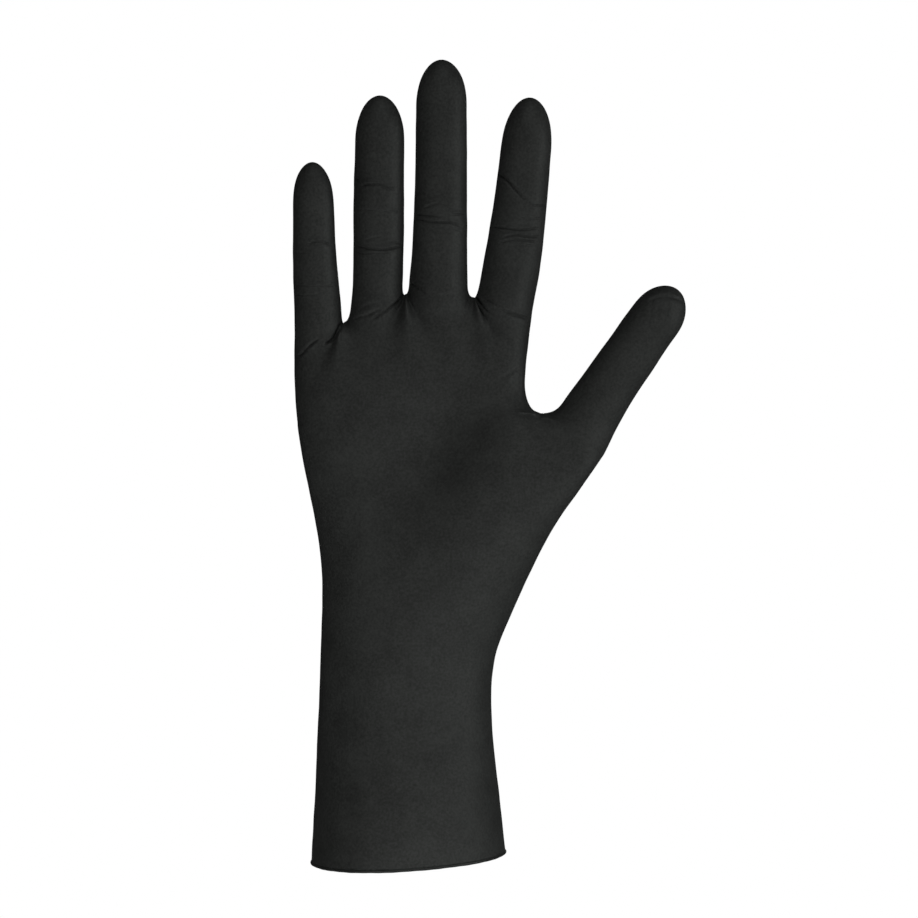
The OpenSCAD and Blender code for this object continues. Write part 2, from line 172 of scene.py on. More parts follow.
# Depth of the hand before and behind its middle plane, as (height, depth).
FRONT_DEPTH = [(64, 22.5), (100, 19.5), (130, 17.2), (160, 15), (185, 12.4), (212, 9.6)]
BACK_DEPTH = [(64, 22.5), (100, 18.6), (130, 16), (160, 14.2), (185, 12.2), (212, 9.6)]
HAND_POWER = 2.6  # power of the arch across the hand
CROTCH_POWER = 3  # and of its side beside the thumb's crotch

ROUND = 0.93  # depth of a digit over its width
SQUARE = 0.35  # how much more than 2 the power of its section is, between its ends
PAD = 0.05  # how much the pads of a digit add to its depth
SHRINK = 1.018  # how many times wider the cage is than the surface that it gives


class Digit:
    """A finger or the thumb as one smooth surface, by length from its root and turn.

    bends name its joints from the root outwards, end is its tip, widths pair parts of its
    length with half its width there, close is the length of its rounded end, bow is how
    far its middle bends sideways, and shift leads from its first joint to its root.
    """

    def __init__(self, name, bends, end, widths, close, bow=0.0, shift=(0, 0, 0)):
        self.name = name
        self.joints = [f"{name}_{b}_bend" for b in bends]
        stops = [joint_at(j) for j in self.joints]
        self.root = stops[0] + np.array(shift)
        self.end = np.array(end, float)
        self.length = float(np.linalg.norm(self.end - self.root))
        along = (self.end - self.root) / self.length
        self.knuckles = [float((s - self.root) @ along) for s in stops]
        self.close = close
        self.widths = [(part * self.length, half) for part, half in widths]
        self.bow = bow

    def middle(self, l):
        """The point of its middle line at a length from the root."""
        q = l / self.length
        p = mix(self.root, self.end, q)
        p[0] += 4 * self.bow * q * (1 - q)
        p[1] = mix(self.root[1], self.end[1], q * abs(q))
        return p

    def axis(self, l):
        """The way it points there."""
        return unit(self.middle(l + 1) - self.middle(l - 1))

    def side(self, l):
        """The way across it, towards the thumb's side."""
        u = self.axis(l)
        return unit(np.array([u[2], 0, -u[0]]))

    def half(self, l):
        """Half its width there."""
        start = self.length - self.close
        over = max(0.0, l - start) / self.close
        return SHRINK * curve(self.widths, min(l, start)) * dome(over, 2.0)

    def point(self, l, turn):
        """The point of its surface there, turned so many degrees round the middle line."""
        u, s, a = self.axis(l), self.side(l), self.half(l)
        palm = np.cross(s, u)
        c, d = math.cos(math.radians(turn)), math.sin(math.radians(turn))
        from_root = ease(l / self.length / 0.25)
        square = SQUARE * from_root * (1 - ease((l - self.length) / self.close + 1))
        c, d = (math.copysign(abs(v) ** (2 / (2 + square)), v) for v in (c, d))
        pad = 1.0
        if d > 0:
            pad += PAD * math.sin(math.pi * min(1, l / self.length)) ** 2
        return self.middle(l) + a * c * s + ROUND * a * d * pad * palm

    def loop(self, l):
        """A loop of points round it there, from its outer side over the palm side."""
        return [self.point(l, 180 - 180 * m / SPAN) for m in range(2 * SPAN)]

    def seams(self):
        """Lengths half way between knuckles, where the film is parted."""
        k = self.knuckles
        return [(a + b) / 2 for a, b in zip(k, k[1:])]


FINGER_BENDS = ("root", "mid", "tip")
HAND = [
    Digit("little", FINGER_BENDS, (-35.7, -4, 259.0),
          [(0, 8.75), (0.3, 8.25), (0.6, 7.7), (0.74, 7.45)], 14.5, -0.35),
    Digit("ring", FINGER_BENDS, (-10.4, -6, 283.6),
          [(0, 9.35), (0.2, 9.45), (0.5, 9.3), (0.77, 9.1)], 16),
    Digit("middle", FINGER_BENDS, (12.2, -7, 296.6),
          [(0, 10.9), (0.14, 10.2), (0.35, 9.8), (0.81, 9.35)], 16, 0.5),
    Digit("index", FINGER_BENDS, (45.2, -6, 282.9),
          [(0, 10.45), (0.3, 10.0), (0.55, 9.65), (0.75, 9.35)], 18, 1.0),
    Digit("thumb", ("root", "tip"), (99.1, -13.6, 211.0),
          [(0, 11.1), (0.25, 10.1), (0.5, 9.9), (0.79, 9.7)], 13, -0.7, (0.4, 0, -0.2)),
]
THUMB = HAND[-1]
THUMB_DEEP = ROUND * THUMB.widths[0][1]  # depth of the thumb's root


# ---- the cage: loops of points from the opening to the five tips ----

LEAN_LOSS = 0.22  # how much less the opening leans at the outer edge
ACROSS_MIX = 0.75  # how much the steps across the palm shorten towards its edges
THICK = 0.6  # where a line has this part of the hand's depth, a digit grows from it


def on_sleeve(z, turn):
    """A point of the cuff, turned so many degrees from the thumb's side over the palm side."""
    half = (curve(THUMB_EDGE, z) - curve(OUTER_EDGE, z)) / 2
    mid = (curve(THUMB_EDGE, z) + curve(OUTER_EDGE, z)) / 2
    deep = mix(CUFF_DEPTH, WRIST_DEPTH, eased(z / WRIST)) / 2
    c, s = math.cos(math.radians(turn)), math.sin(math.radians(turn))
    lean = max(0.0, 1 - z / WRIST) * CUFF_RISE / 2 * (1 - LEAN_LOSS * max(0.0, -c) ** 2)
    return np.array([mid + half * c, -deep * s, z + lean * c])


def across(c):
    """Turn round the cuff of step c across the hand."""
    return 180 - 180 * c / WIDE


def web(c):
    """Place, height and depth of the line where the fingers part."""
    k = min(FINGERS - 1, c // SPAN)
    j = (c - k * SPAN) / SPAN
    (x0, z0), (x1, z1) = WEBS[k], WEBS[k + 1]
    x = mix(x0, x1, (1 - math.cos(math.pi * j)) / 2)
    swell = math.sin(math.pi * j)
    return x, mix(z0, z1, j) - WEB_SAG * swell, ROUND * HAND[k].half(0) * swell


def even(c):
    """Part of the way across the palm, in steps that shorten towards both edges."""
    q = c / CROTCH
    return mix(q, (1 - math.cos(math.pi * q)) / 2, ACROSS_MIX)


def palm_part(c):
    """Part of the way across the palm at the line where the fingers part."""
    return (web(c)[0] - WEBS[0][0]) / (WEBS[-1][0] - WEBS[0][0])


LEFT = curve(OUTER_EDGE, OUTER_TOP)  # place of the outer end of the line at the crotch


def depth(z, face):
    """Depth of the hand at a height, on the palm side (1) or the back (-1)."""
    return curve(FRONT_DEPTH if face > 0 else BACK_DEPTH, z)


def section(q, t):
    """Part of full depth across the palm, which is squarer beside the thumb's crotch."""
    power = HAND_POWER if q < 0.5 else mix(CROTCH_POWER, HAND_POWER, eased(t / 0.5))
    return dome(2 * q - 1, power)


def crotch(c):
    """Place and height of the line at the thumb's crotch."""
    if c <= CROTCH:
        q = even(c)
        return mix(LEFT, CROTCH_AT[0], q), mix(OUTER_TOP, CROTCH_AT[1], q)
    j = (c - CROTCH) / SPAN
    q = (1 - math.cos(math.pi * j)) / 2
    return tuple(mix(a, b, q) for a, b in zip(CROTCH_AT, CROTCH_END))


def join(full, lobe, t, edge=0.86, begin=0.4):
    """From the hand's full depth to that of a line at t = 1: a round edge where the line
    is thin, and a soft slope where a digit grows from it."""
    rounded = mix(lobe, full, dome(max(0.0, (t - edge) / (1 - edge))))
    sloping = mix(full, lobe, eased((t - begin) / (1 - begin)))
    return mix(rounded, sloping, eased(lobe / full / THICK)) if full > 0 else lobe


def parted(x, z, reach, face, n=5):
    """Mean square of the depth on the line at the thumb's crotch, over a reach to both
    sides of x, where the middle counts most."""
    reach = min(reach, x - LEFT, CROTCH_END[0] - x)
    total = 0.0
    for k in range(1 - n, n):
        at = x + reach * k / n
        if at < CROTCH_AT[0]:
            lobe = depth(z, face) * section((at - LEFT) / (CROTCH_AT[0] - LEFT), 0)
        else:
            u = 2 * (at - CROTCH_AT[0]) / (CROTCH_END[0] - CROTCH_AT[0]) - 1
            lobe = THUMB_DEEP * dome(u)
        total += (n - abs(k)) / n**2 * lobe**2
    return total


def forward(x, begin=18, width=48):
    """How far the ball of the thumb brings the middle of the hand towards the palm side."""
    return THUMB.root[1] * eased((x - begin) / width)


# Swellings of the hand inside the film: place across and height, reach along and to
# either side, turn, and rise.
PALM_FORM = [
    ((38, 128), (40, 26, 22), 50, 6.6),  # ball of the thumb
    ((-20, 116), (30, 12, 12), 95, 1.2),  # heel of the hand
    ((12, 151), (28, 22, 9.5), 45, -6.4),  # hollow of the palm
    ((-31, 184), (9, 7, 7), 90, 0.9), ((-11, 190), (9, 8, 8), 90, 1.1),  # pads of the fingers
    ((12, 192), (9, 8, 8), 90, 1.1), ((35, 190), (10, 9, 9), 90, 1.3),
]
BACK_FORM = [
    ((-31, 180), (9, 6, 6), 90, 1.0), ((-11, 187), (9, 7, 7), 90, 1.3),  # knuckles
    ((11, 190), (9, 7, 7), 90, 1.4), ((34, 186), (9, 7, 7), 90, 1.2),
    ((0, 140), (30, 26, 26), 90, -0.8), ((48, 140), (20, 9, 9), 60, 0.8),
]


def relief(x, z, face, deep, shallow=7):
    """How far the swellings move the film outwards, less where the hand is shallow."""
    total = 0.0
    for at, reach, turn, rise in PALM_FORM if face > 0 else BACK_FORM:
        c, d = math.cos(math.radians(turn)), math.sin(math.radians(turn))
        along, over = (x - at[0]) * c + (z - at[1]) * d, (z - at[1]) * c - (x - at[0]) * d
        wide = reach[1] if over > 0 else reach[2]
        total += rise * math.exp(-((along / reach[0]) ** 2) - (over / wide) ** 2)
    return total * min(1.0, deep / shallow)


def low_point(t, c, face, begin=0.62, widest=12):
    """A point between the wrist and the line at the thumb's crotch. From begin on, its
    depth goes over to that line's, taken over a reach that shrinks from widest to 0."""
    if t == 0:
        return on_sleeve(WRIST, face * across(c))
    cx, cz = crotch(c)
    z = mix(WRIST, cz, t)
    left = curve(OUTER_EDGE, mix(WRIST, OUTER_TOP, t))
    right = curve(THUMB_EDGE, mix(WRIST, CROTCH_END[1], t))
    end = 2 * (cx - LEFT) / (CROTCH_END[0] - LEFT) - 1
    s = mix(math.cos(math.radians(across(c))), end, (eased(t) + t) / 2)
    x = mix(left, right, (1 + s) / 2)
    full = depth(z, face) * dome(s, mix(2, HAND_POWER, t))
    v = max(0.0, (t - begin) / (1 - begin))
    lobe = parted(min(max(x, LEFT), CROTCH_END[0]), z, widest * (1 - v), face)
    thick = eased(math.sqrt(lobe) / max(full, 0.1) / THICK)
    deep = math.sqrt(mix(lobe, full**2, mix(1 - v * v, 1 - eased(v), thick)))
    more = relief(x, z, face, deep) * min(1.0, 4 * t)
    y = forward(x) * eased(t)
    return np.array([x, y - face * (deep + more), z])


def high_point(t, c, face):
    """A point between the line at the thumb's crotch and the webs of the fingers."""
    cz = crotch(c)[1]
    _, wz, lobe = web(c)
    left = curve(OUTER_EDGE, mix(OUTER_TOP, WEBS[0][1], t))
    right = curve(INDEX_EDGE, mix(CROTCH_AT[1], WEBS[-1][1], t))
    s = mix(even(c), palm_part(c), t**3)
    x, z = mix(left, right, s), mix(cz, wz, t)
    deep = join(depth(z, face) * section(s, t), lobe, t)
    y = forward(x) * (1 - eased(t))
    return np.array([x, y - face * (deep + relief(x, z, face, deep)), z])


def ladder(stops, n, place):
    """Loops of points round the hand, one at each stop, n steps across each face."""
    loops = []
    for t in stops:
        front = [place(t, c, 1) for c in range(n + 1)]
        back = [place(t, c, -1) for c in range(n - 1, 0, -1)]
        loops.append(front + back)
    return loops


def crowded(n, power):
    """n + 1 stops from 0 to 1 that crowd towards 1."""
    return [1 - (1 - i / n) ** power for i in range(n + 1)]


def spaced(a, b, step):
    """Stops from a to b, about a step apart."""
    n = max(1, round((b - a) / step))
    return [mix(a, b, i / n) for i in range(n + 1)]


class Cage:
    """Points and faces, nearly all of them quads, each marked with its piece's number."""

    def __init__(self):
        self.points, self.quads, self.marks = [], [], []

    def loops(self, loops, mark):
        """Joins loops of equal size; mark gives the piece of each band of quads."""
        base, n = len(self.points), len(loops[0])
        for loop in loops:
            self.points += list(loop)
        for r in range(len(loops) - 1):
            for m in range(n):
                a, b = base + r * n + m, base + r * n + (m + 1) % n
                self.quads.append((a, b, b + n, a + n))
                self.marks.append(mark(r))

    def cap(self, mark):
        """Closes the last loop with faces across it, front to back."""
        n = 2 * SPAN
        base = len(self.points) - n
        for m in range(SPAN):
            a, b = base + m, base + m + 1
            c, d = base + (n - m - 1) % n, base + (n - m) % n
            if m == 0:
                self.quads.append((a, b, c))
            elif m == SPAN - 1:
                self.quads.append((a, b, d))
            else:
                self.quads.append((a, b, c, d))
            self.marks.append(mark)

    def mesh(self, name):
        """Merges the points that loops share."""
        points = np.array(self.points)
        _, first, index = np.unique(np.round(points, 4), axis=0,
                                    return_index=True, return_inverse=True)
        index = index.reshape(-1)
        faces = [[int(index[i]) for i in q] for q in self.quads]
        mesh = bpy.data.meshes.new(name)
        mesh.from_pydata(points[first].tolist(), [], faces)
        for i, mark in enumerate(self.marks):
            mesh.polygons[i].material_index = mark
        return mesh


# A piece's number is its mark: 0 the cuff, 1 the palm, then each digit's from the root.
PIECES = ["cuff_film", "palm_film"]
FIRST = {}  # number of each digit's first piece
for digit in HAND:
    FIRST[digit.name] = len(PIECES)
    parts = ("root", "end") if digit is THUMB else ("root", "middle", "end")
    PIECES += [f"{digit.name}_{part}_film" for part in parts]

# Where loops of points lie, as parts of the way: from the wrist to the line at the thumb's
# crotch, from there to the webs, and from there to a digit's root.
LOW_STOPS = spaced(0, 0.75, 0.075) + [mix(0.75, 1, t) for t in crowded(6, 1.8)[1:]]
HIGH_STOPS = [0, 0.02, 0.05, 0.1] + spaced(0.18, 0.78, 0.1) + [0.84, 0.89, 0.93, 0.97, 1]
STUB_STOPS = [0, 0.08, 0.18, 0.3, 0.44, 0.6, 0.8, 1]
CUFF_TOP = 0.3  # the cuff's piece ends at this part of the first way
CUFF_STEP = 6.2  # between loops of the cuff
FIRST_STEP = 2.5  # from the opening to the cuff's second loop
DIGIT_STEP = 1.15  # between loops of a digit
TIP_TURNS = (11, 22, 33, 43, 53, 62, 70, 77, 83, 87)  # of the loops round its end, degrees


def stub(begin, ring, u, webs):
    """Loops from the palm's edge to the first ring of a digit that points along u, rounded
    off towards its webs; webs says whether it has one towards the little finger, and one
    towards the thumb."""
    loops = []
    for t in STUB_STOPS:
        loop = []
        for m, (a, b) in enumerate(zip(begin, ring)):
            c = math.cos(math.pi * m / SPAN)
            w = c * c * webs[0 if c > 0 else 1]
            bend = mix((a + b) / 2, b - u * ((b - a)[2] / u[2]), w)
            loop.append(a * (1 - t) ** 2 + bend * 2 * t * (1 - t) + b * t * t)
        loops.append(loop)
    return loops


def digit_start(k, top, side):
    """The loop on the palm's edge that digit k grows from."""
    if HAND[k] is THUMB:
        return side[CROTCH:CROTCH + 2 * SPAN]
    end = 2 * CROTCH - k * SPAN
    return top[k * SPAN:(k + 1) * SPAN + 1] + top[end - SPAN + 1:end]


def add_digit(cage, d, begin):
    """Adds a digit to the cage, from the loop on the palm's edge to its closed tip."""
    first = FIRST[d.name]
    webs = (d.name != "little", d.name in ("little", "ring", "middle"))
    cage.loops(stub(begin, d.loop(0), d.axis(0), webs), lambda r: 1 if r == 0 else first)
    stops, marks, at = [0.0], [], 0.0
    for i, seam in enumerate(d.seams() + [d.length - d.close]):
        part = spaced(at, seam, DIGIT_STEP)[1:]
        stops += part
        marks += [first + i] * len(part)
        at = seam
    stops += [at + d.close * math.sin(math.radians(turn)) for turn in TIP_TURNS]
    marks += [marks[-1]] * len(TIP_TURNS)
    cage.loops([d.loop(l) for l in stops], lambda r: marks[r])
    cage.cap(marks[-1])


def build_cage():
    """The whole glove as a mesh of few points, from the opening to the five tips."""
    cage = Cage()
    start = math.sqrt(BEAD * BEAD - FILM * FILM) / 2
    rise = [0.0] + spaced(FIRST_STEP, WRIST - start, CUFF_STEP)
    turns = [across(m) for m in range(2 * WIDE)]
    cage.loops([[on_sleeve(start + z, t) for t in turns] for z in rise], lambda r: 0)
    low = ladder(LOW_STOPS, WIDE, low_point)
    cage.loops(low, lambda r: 0 if LOW_STOPS[r + 1] <= CUFF_TOP else 1)
    high = ladder(HIGH_STOPS, CROTCH, high_point)
    cage.loops(high, lambda r: 1)
    for k, d in enumerate(HAND):
        add_digit(cage, d, digit_start(k, high[-1], low[-1]))
    return cage.mesh("glove_cage")


def read(items, name, width, kind=float):
    """One property of all vertices, edges or faces, so many numbers to a row."""
    values = np.empty(len(items) * width, kind)
    items.foreach_get(name, values)
    return values.reshape(-1, width)


def smooth_cage(mesh, rounds=8, pull=0.45, more_rounds=24, more_pull=0.5):
    """Evens out the depth of the palm, leaving the outline, the cuff and the digits, and
    then goes over the surroundings of the thumb's crotch once more."""
    co = read(mesh.vertices, "co", 3)
    x, z, n = co[:, 0], co[:, 2], len(co)
    a, b = read(mesh.edges, "vertices", 2, int).T
    count = np.bincount(a, minlength=n) + np.bincount(b, minlength=n)
    fingers = ease((z - 196) / 10) * (np.abs(x) < 60)
    thumb = ease(((co - THUMB.root) @ THUMB.axis(0) - 1) / 6) * ease((x - 44) / 9)
    inside = ease((np.abs(co[:, 1] - THUMB.root[1] * thumb) - 1) / 6)
    free = ease((z - 74) / 16) * (1 - fingers) * (1 - thumb) * inside * pull
    away = np.hypot(x - CROTCH_AT[0] - 1, z - CROTCH_AT[1] + 3)
    near = more_pull * np.exp(-((away / 11) ** 2)) * (away < 24)
    for pulled in [free] * rounds + [near] * more_rounds:
        total = np.bincount(a, co[b, 1], n) + np.bincount(b, co[a, 1], n)
        co[:, 1] += (total / count - co[:, 1]) * pulled
    mesh.vertices.foreach_set("co", co.ravel())


def subdivide(mesh, levels=2):
    """Places of the points, quads and marks of the smooth surface over the cage."""
    obj = bpy.data.objects.new("glove_cage", mesh)
    bpy.context.scene.collection.objects.link(obj)
    mod = obj.modifiers.new("round", "SUBSURF")
    mod.levels = levels
    mod.use_limit_surface = True
    graph = bpy.context.evaluated_depsgraph_get()
    fine = bpy.data.meshes.new_from_object(obj.evaluated_get(graph))
    co = read(fine.vertices, "co", 3)
    quads = read(fine.loops, "vertex_index", 1, int).reshape(-1, 4)
    marks = read(fine.polygons, "material_index", 1, int)[:, 0]
    bpy.data.objects.remove(obj)
    bpy.data.meshes.remove(fine)
    return co, quads, marks


def relax(co, quads, at=(48, 166), reach=6.0, rounds=150):
    """Evens out the depth of the saddle between the palm and the thumb."""
    away = np.hypot(co[:, 0] - at[0], co[:, 2] - at[1]) / reach
    free = np.flatnonzero(away < 2)
    place = np.full(len(co), -1)
    place[free] = np.arange(len(free))
    ends = np.vstack([quads[:, [i, (i + 1) % 4]] for i in range(4)])
    a, b = place[ends[(place[ends] >= 0).all(axis=1)]].T
    pull = 0.5 * ease((1.8 - away[free]) / 0.8)
    count = np.maximum(np.bincount(a, minlength=len(free)), 1)
    deep = co[free, 1]
    for _ in range(rounds):
        deep += (np.bincount(a, deep[b], len(free)) / count - deep) * pull
    co[free, 1] = deep


def settle(co, normal, middle=(30, 162), span=(50, 25), reach=3.0, parts=40):
    """Lets the film lie evenly round the thumb's crotch: each depth there becomes that of
    the plane that fits its surroundings best. The points are taken in so many parts."""
    x, z = co[:, 0] - middle[0], co[:, 2] - middle[1]
    away = np.hypot(x / span[0], z / span[1])
    pull = ease((1 - away) / 0.5) * ease((np.abs(normal[:, 1]) - 0.4) / 0.3)
    terms = np.stack([np.ones(len(x)), x, z, x * x, x * z, z * z], axis=1)
    square = [0, 1, 2, 1, 3, 4, 2, 4, 5]  # the terms of the plane's 3 by 3 equations
    depths = co[:, 1].copy()
    for face in (1, -1):
        facing = normal[:, 1] * face > 0.15
        near = np.flatnonzero(facing & (away < 1.3))
        values = np.hstack([terms[near], terms[near, :3] * depths[near, None]])
        for some in np.array_split(np.flatnonzero(facing & (pull > 0)), parts):
            apart = (x[some, None] - x[near]) ** 2 + (z[some, None] - z[near]) ** 2
            sums = np.exp(-apart / (2 * reach**2)) @ values
            plane = np.linalg.solve(sums[:, square].reshape(-1, 3, 3), sums[:, 6:, None])
            flat = (plane[:, :, 0] * terms[some, :3]).sum(axis=1)
            co[some, 1] += (flat - depths[some]) * pull[some]


def normals_of(co, quads):
    """The way out of the film at each of its points."""
    p = co[quads]
    face = np.cross(p[:, 2] - p[:, 0], p[:, 3] - p[:, 1])
    total = np.zeros_like(co)
    for i in range(4):
        np.add.at(total, quads[:, i], face)
    return total / np.maximum(np.linalg.norm(total, axis=1), 1e-12)[:, None]


# ---- creases, as lines seen from the palm side: points, depth, width ----

CREASES = [
    # little finger
    ([(-37.3, 228.4), (-34.2, 229.1), (-31.2, 228.9), (-28, 227.8)], 0.42, 0.7),
    ([(-42, 225.3), (-38, 225)], 0.2, 0.7),
    ([(-42.5, 213.3), (-34, 212.7), (-26.8, 213)], 0.2, 0.5),
    ([(-42.5, 209.6), (-36.5, 209.4), (-32.5, 209.9)], 0.2, 0.5),
    ([(-25.2, 199.3), (-26, 196.6), (-27.9, 193.4), (-31, 191.2)], 0.65, 0.85),
    ([(-33.2, 193.2), (-36.5, 190.8), (-40.4, 187)], 0.55, 0.8),
    ([(-42.5, 186.4), (-37, 188.6)], 0.25, 0.6),
    # ring finger
    ([(-20, 252.8), (-18.4, 252)], 0.4, 0.9),
    ([(-18, 249.6), (-14.4, 250.1), (-9.9, 249.8), (-4.8, 248.1)], 0.45, 0.75),
    ([(-19.8, 241.2), (-13.5, 240.7), (-8.5, 240.3), (-2.3, 240.5)], 0.18, 0.5),
    ([(-15.4, 229.9), (-11.4, 230.8), (-7, 230.4)], 0.26, 0.7),
    ([(-19.8, 228.5), (-17.5, 227.2), (-13.7, 226.2), (-9.1, 226), (-5.3, 226.7), (-2, 227.6)],
     0.5, 0.65),
    ([(-7.4, 229.4), (-2.8, 228.6)], 0.2, 0.5),
    ([(-19.8, 225.8), (-16.7, 224.7), (-11, 225), (-5.5, 224.8)], 0.3, 0.55),
    ([(-19.6, 216.4), (-17.4, 215.2)], 0.25, 0.7),
    ([(-19.8, 212.6), (-16, 210.2), (-12.2, 208.3), (-8.2, 206.8)], 0.42, 0.7),
    ([(-17.4, 205), (-13.7, 206), (-9.1, 206.9)], 0.42, 0.7),
    ([(-13.6, 200), (-7.6, 204.1), (-4.6, 206.4), (-2.3, 208.7)], 0.6, 0.85),
    ([(-20.6, 200.6), (-15, 202.2), (-9.4, 204.6)], 0.3, 0.9),
    # middle finger
    ([(3.4, 248.6), (8, 246.8), (12.4, 245.6)], 0.12, 0.9),
    ([(5.6, 241.6), (9.9, 242.7), (13.7, 242.3), (17.4, 241)], 0.36, 0.7),
    ([(2.7, 239.5), (6.9, 238.6), (12.2, 238.1)], 0.42, 0.6),
    ([(15.4, 239), (21.4, 239.5)], 0.26, 0.55),
    ([(2.6, 238), (6.1, 236.7), (11.4, 236), (16, 236), (19.6, 234.8)], 0.5, 0.65),
    ([(14.6, 234.2), (19.8, 233.2)], 0.18, 0.55),
    ([(0.4, 214.4), (3.8, 211.7), (7, 209.4)], 0.55, 0.75),
    ([(5, 214), (9.4, 214.3)], 0.16, 0.6),
    ([(8, 210.3), (12.2, 209.1), (17.4, 209.5)], 0.3, 0.7),
    # index finger
    ([(32.8, 254.9), (36.2, 251.7), (39.2, 248.3), (43.8, 243.8)], 0.65, 0.8),
    ([(44.2, 242.9), (48, 242.4), (52, 243.1)], 0.26, 0.6),
    ([(39.4, 238), (43.6, 237.4), (49.8, 237.9)], 0.2, 0.6),
    ([(38, 235.9), (42.5, 235.6)], 0.16, 0.5),
    ([(30.6, 234.9), (34.4, 234.2), (39.6, 233.4), (43.4, 233.4), (48.6, 234.3)], 0.45, 0.65),
    ([(35, 230.6), (39.4, 231.5), (44.6, 230.8), (48.9, 231.3)], 0.42, 0.55),
    ([(33.6, 228.7), (39.4, 229.6), (47.8, 229)], 0.36, 0.55),
    ([(37, 227.3), (42, 227.8), (47.4, 227.4)], 0.16, 0.5),
    ([(24.7, 209.2), (27, 206), (29.4, 203.1)], 0.6, 0.8),
    ([(27.4, 208.5), (32, 206), (35, 203.7), (38.8, 202.2), (45, 200.7)], 0.6, 0.8),
    ([(33.4, 206.2), (36.6, 203.4)], 0.3, 0.6),
    # folds that run down from the webs
    ([(22.4, 208.4), (20.7, 204.4)], 0.26, 0.7),
    ([(24.1, 208), (23.9, 203.4)], 0.32, 0.65),
    ([(-1.8, 208.4), (-3, 204)], 0.3, 0.7),
    ([(-24.6, 198), (-25.2, 193.8)], 0.3, 0.7),
    # palm
    ([(44.4, 184), (38.6, 181), (35, 178.2), (31, 176.4)], 0.4, 0.7),
    # end of the thumb
    ([(87.5, 206.2), (92, 208), (97, 208), (102, 206.4)], 0.24, 1.1),
    ([(89.6, 206.4), (88.8, 198)], 0.2, 0.8),
    ([(92.6, 206.8), (91.2, 199)], 0.22, 0.8),
    ([(95.8, 206.8), (94.4, 200.6)], 0.16, 0.8),
]


def line_distance(x, z, points):
    """Distance to a bent line, which side of it, and how far along it, from 0 to 1."""
    best = np.full(x.shape, 1e9)
    side = np.zeros(x.shape)
    along = np.zeros(x.shape)
    pts = np.array(points, float)
    steps = np.linalg.norm(np.diff(pts, axis=0), axis=1)
    total, done = steps.sum(), 0.0
    for (ax, az), (bx, bz), step in zip(pts, pts[1:], steps):
        ux, uz = (bx - ax) / step, (bz - az) / step
        t = np.clip((x - ax) * ux + (z - az) * uz, 0, step)
        dx, dz = x - ax - t * ux, z - az - t * uz
        d = np.hypot(dx, dz)
        near = d < best
        best = np.where(near, d, best)
        side = np.where(near, np.sign(ux * dz - uz * dx), side)
        along = np.where(near, (done + t) / total, along)
        done += step
    return best, side, along


def smooth_line(points, n=7):
    """The same line with its corners rounded."""
    pts = np.array(points, float)
    if len(pts) < 3:
        return pts
    keys = np.concatenate([[0], np.cumsum(np.linalg.norm(np.diff(pts, axis=0), axis=1))])
    xs = list(zip(keys, pts[:, 0]))
    zs = list(zip(keys, pts[:, 1]))
    stops = np.linspace(0, keys[-1], n * (len(pts) - 1) + 1)
    return [(curve(xs, k), curve(zs, k)) for k in stops]


def crease_lift(co, normal, margin=5):
    """How far each point of the film moves outwards for the creases: into a narrow groove
    with a soft lip on both sides, higher on one, that thins out towards its ends."""
    x, z = co[:, 0], co[:, 2]
    front = ease(-normal[:, 1] / 0.38)
    lift = np.zeros(len(co))
    for points, deep, wide in CREASES:
        line = smooth_line(points)
        low, high = np.min(line, axis=0) - margin, np.max(line, axis=0) + margin
        near = (x > low[0]) & (x < high[0]) & (z > low[1]) & (z < high[1])
        d, side, along = line_distance(x[near], z[near], line)
        taper = ease(along / 0.14) * ease((1 - along) / 0.14) * 0.85 + 0.15
        taper *= np.where((along <= 0) | (along >= 1), np.exp(-((d / wide) ** 2)), 1)
        groove = -1.45 * np.exp(-((d / (0.45 * wide)) ** 2))
        lip = np.exp(-(((d - 1.3 * wide) / (0.9 * wide)) ** 2)) * (0.32 + 0.2 * side)
        lift[near] += deep * taper * (groove + lip)
    return lift * front


def waves(co, seed, count, low, high, stretch=(1, 1, 1)):
    """A soft uneven field: waves of many directions, of lengths from low to high."""
    rng = np.random.default_rng(seed)
    field = np.zeros(len(co))
    for _ in range(count):
        way = unit(rng.normal(size=3) * np.array(stretch))
        k = 2 * math.pi / rng.uniform(low, high)
        field += np.sin(co @ way * k + rng.uniform(0, 2 * math.pi))
    return field / math.sqrt(count / 2)


def shape_film(co, quads):
    """Presses the creases and the slack of the film into the plain form."""
    relax(co, quads)
    settle(co, normals_of(co, quads))
    normal = normals_of(co, quads)
    z = co[:, 2]
    slack = 0.132 * waves(co, 3, 14, 26, 60) + 0.042 * waves(co, 5, 18, 9, 20)
    drape = 0.2 * waves(co, 11, 12, 30, 70, (1, 1, 0.25)) * (1 - ease((z - 45) / 60))
    over_edge = np.maximum(z - co[:, 0] * CUFF_RISE / CUFF_WIDTH, 0)
    swell = 0.12 * np.exp(-over_edge / 1.2)  # towards the bead
    co = co + normal * (slack + drape + swell)[:, None]
    normal = normals_of(co, quads)
    return co + normal * crease_lift(co, normal)[:, None]


# ---- materials ----


def node(tree, kind, x=0, y=0, **values):
    """A node at a place in the tree, with its settings and inputs given by name."""
    n = tree.nodes.new(kind)
    n.location = (x, y)
    for key, value in values.items():
        if hasattr(n, key):
            setattr(n, key, value)
        else:
            n.inputs[key.replace("_", " ")].default_value = value
    return n


def noise(tree, y, scale, detail, **values):
    """A noise texture in the left column of the tree."""
    return node(tree, "ShaderNodeTexNoise", -900, y, Scale=scale, Detail=detail, **values)


def map_range(tree, values, **place):
    """A node that maps values[0] and values[1] to values[2] and values[3]."""
    n = node(tree, "ShaderNodeMapRange", **place)
    for name, value in zip(("From Min", "From Max", "To Min", "To Max"), values):
        n.inputs[name].default_value = value
    return n


def new_material(name):
    """A material, its tree and its shader."""
    mat = bpy.data.materials.new(name)
    mat.use_nodes = True
    return mat, mat.node_tree, mat.node_tree.nodes["Principled BSDF"]


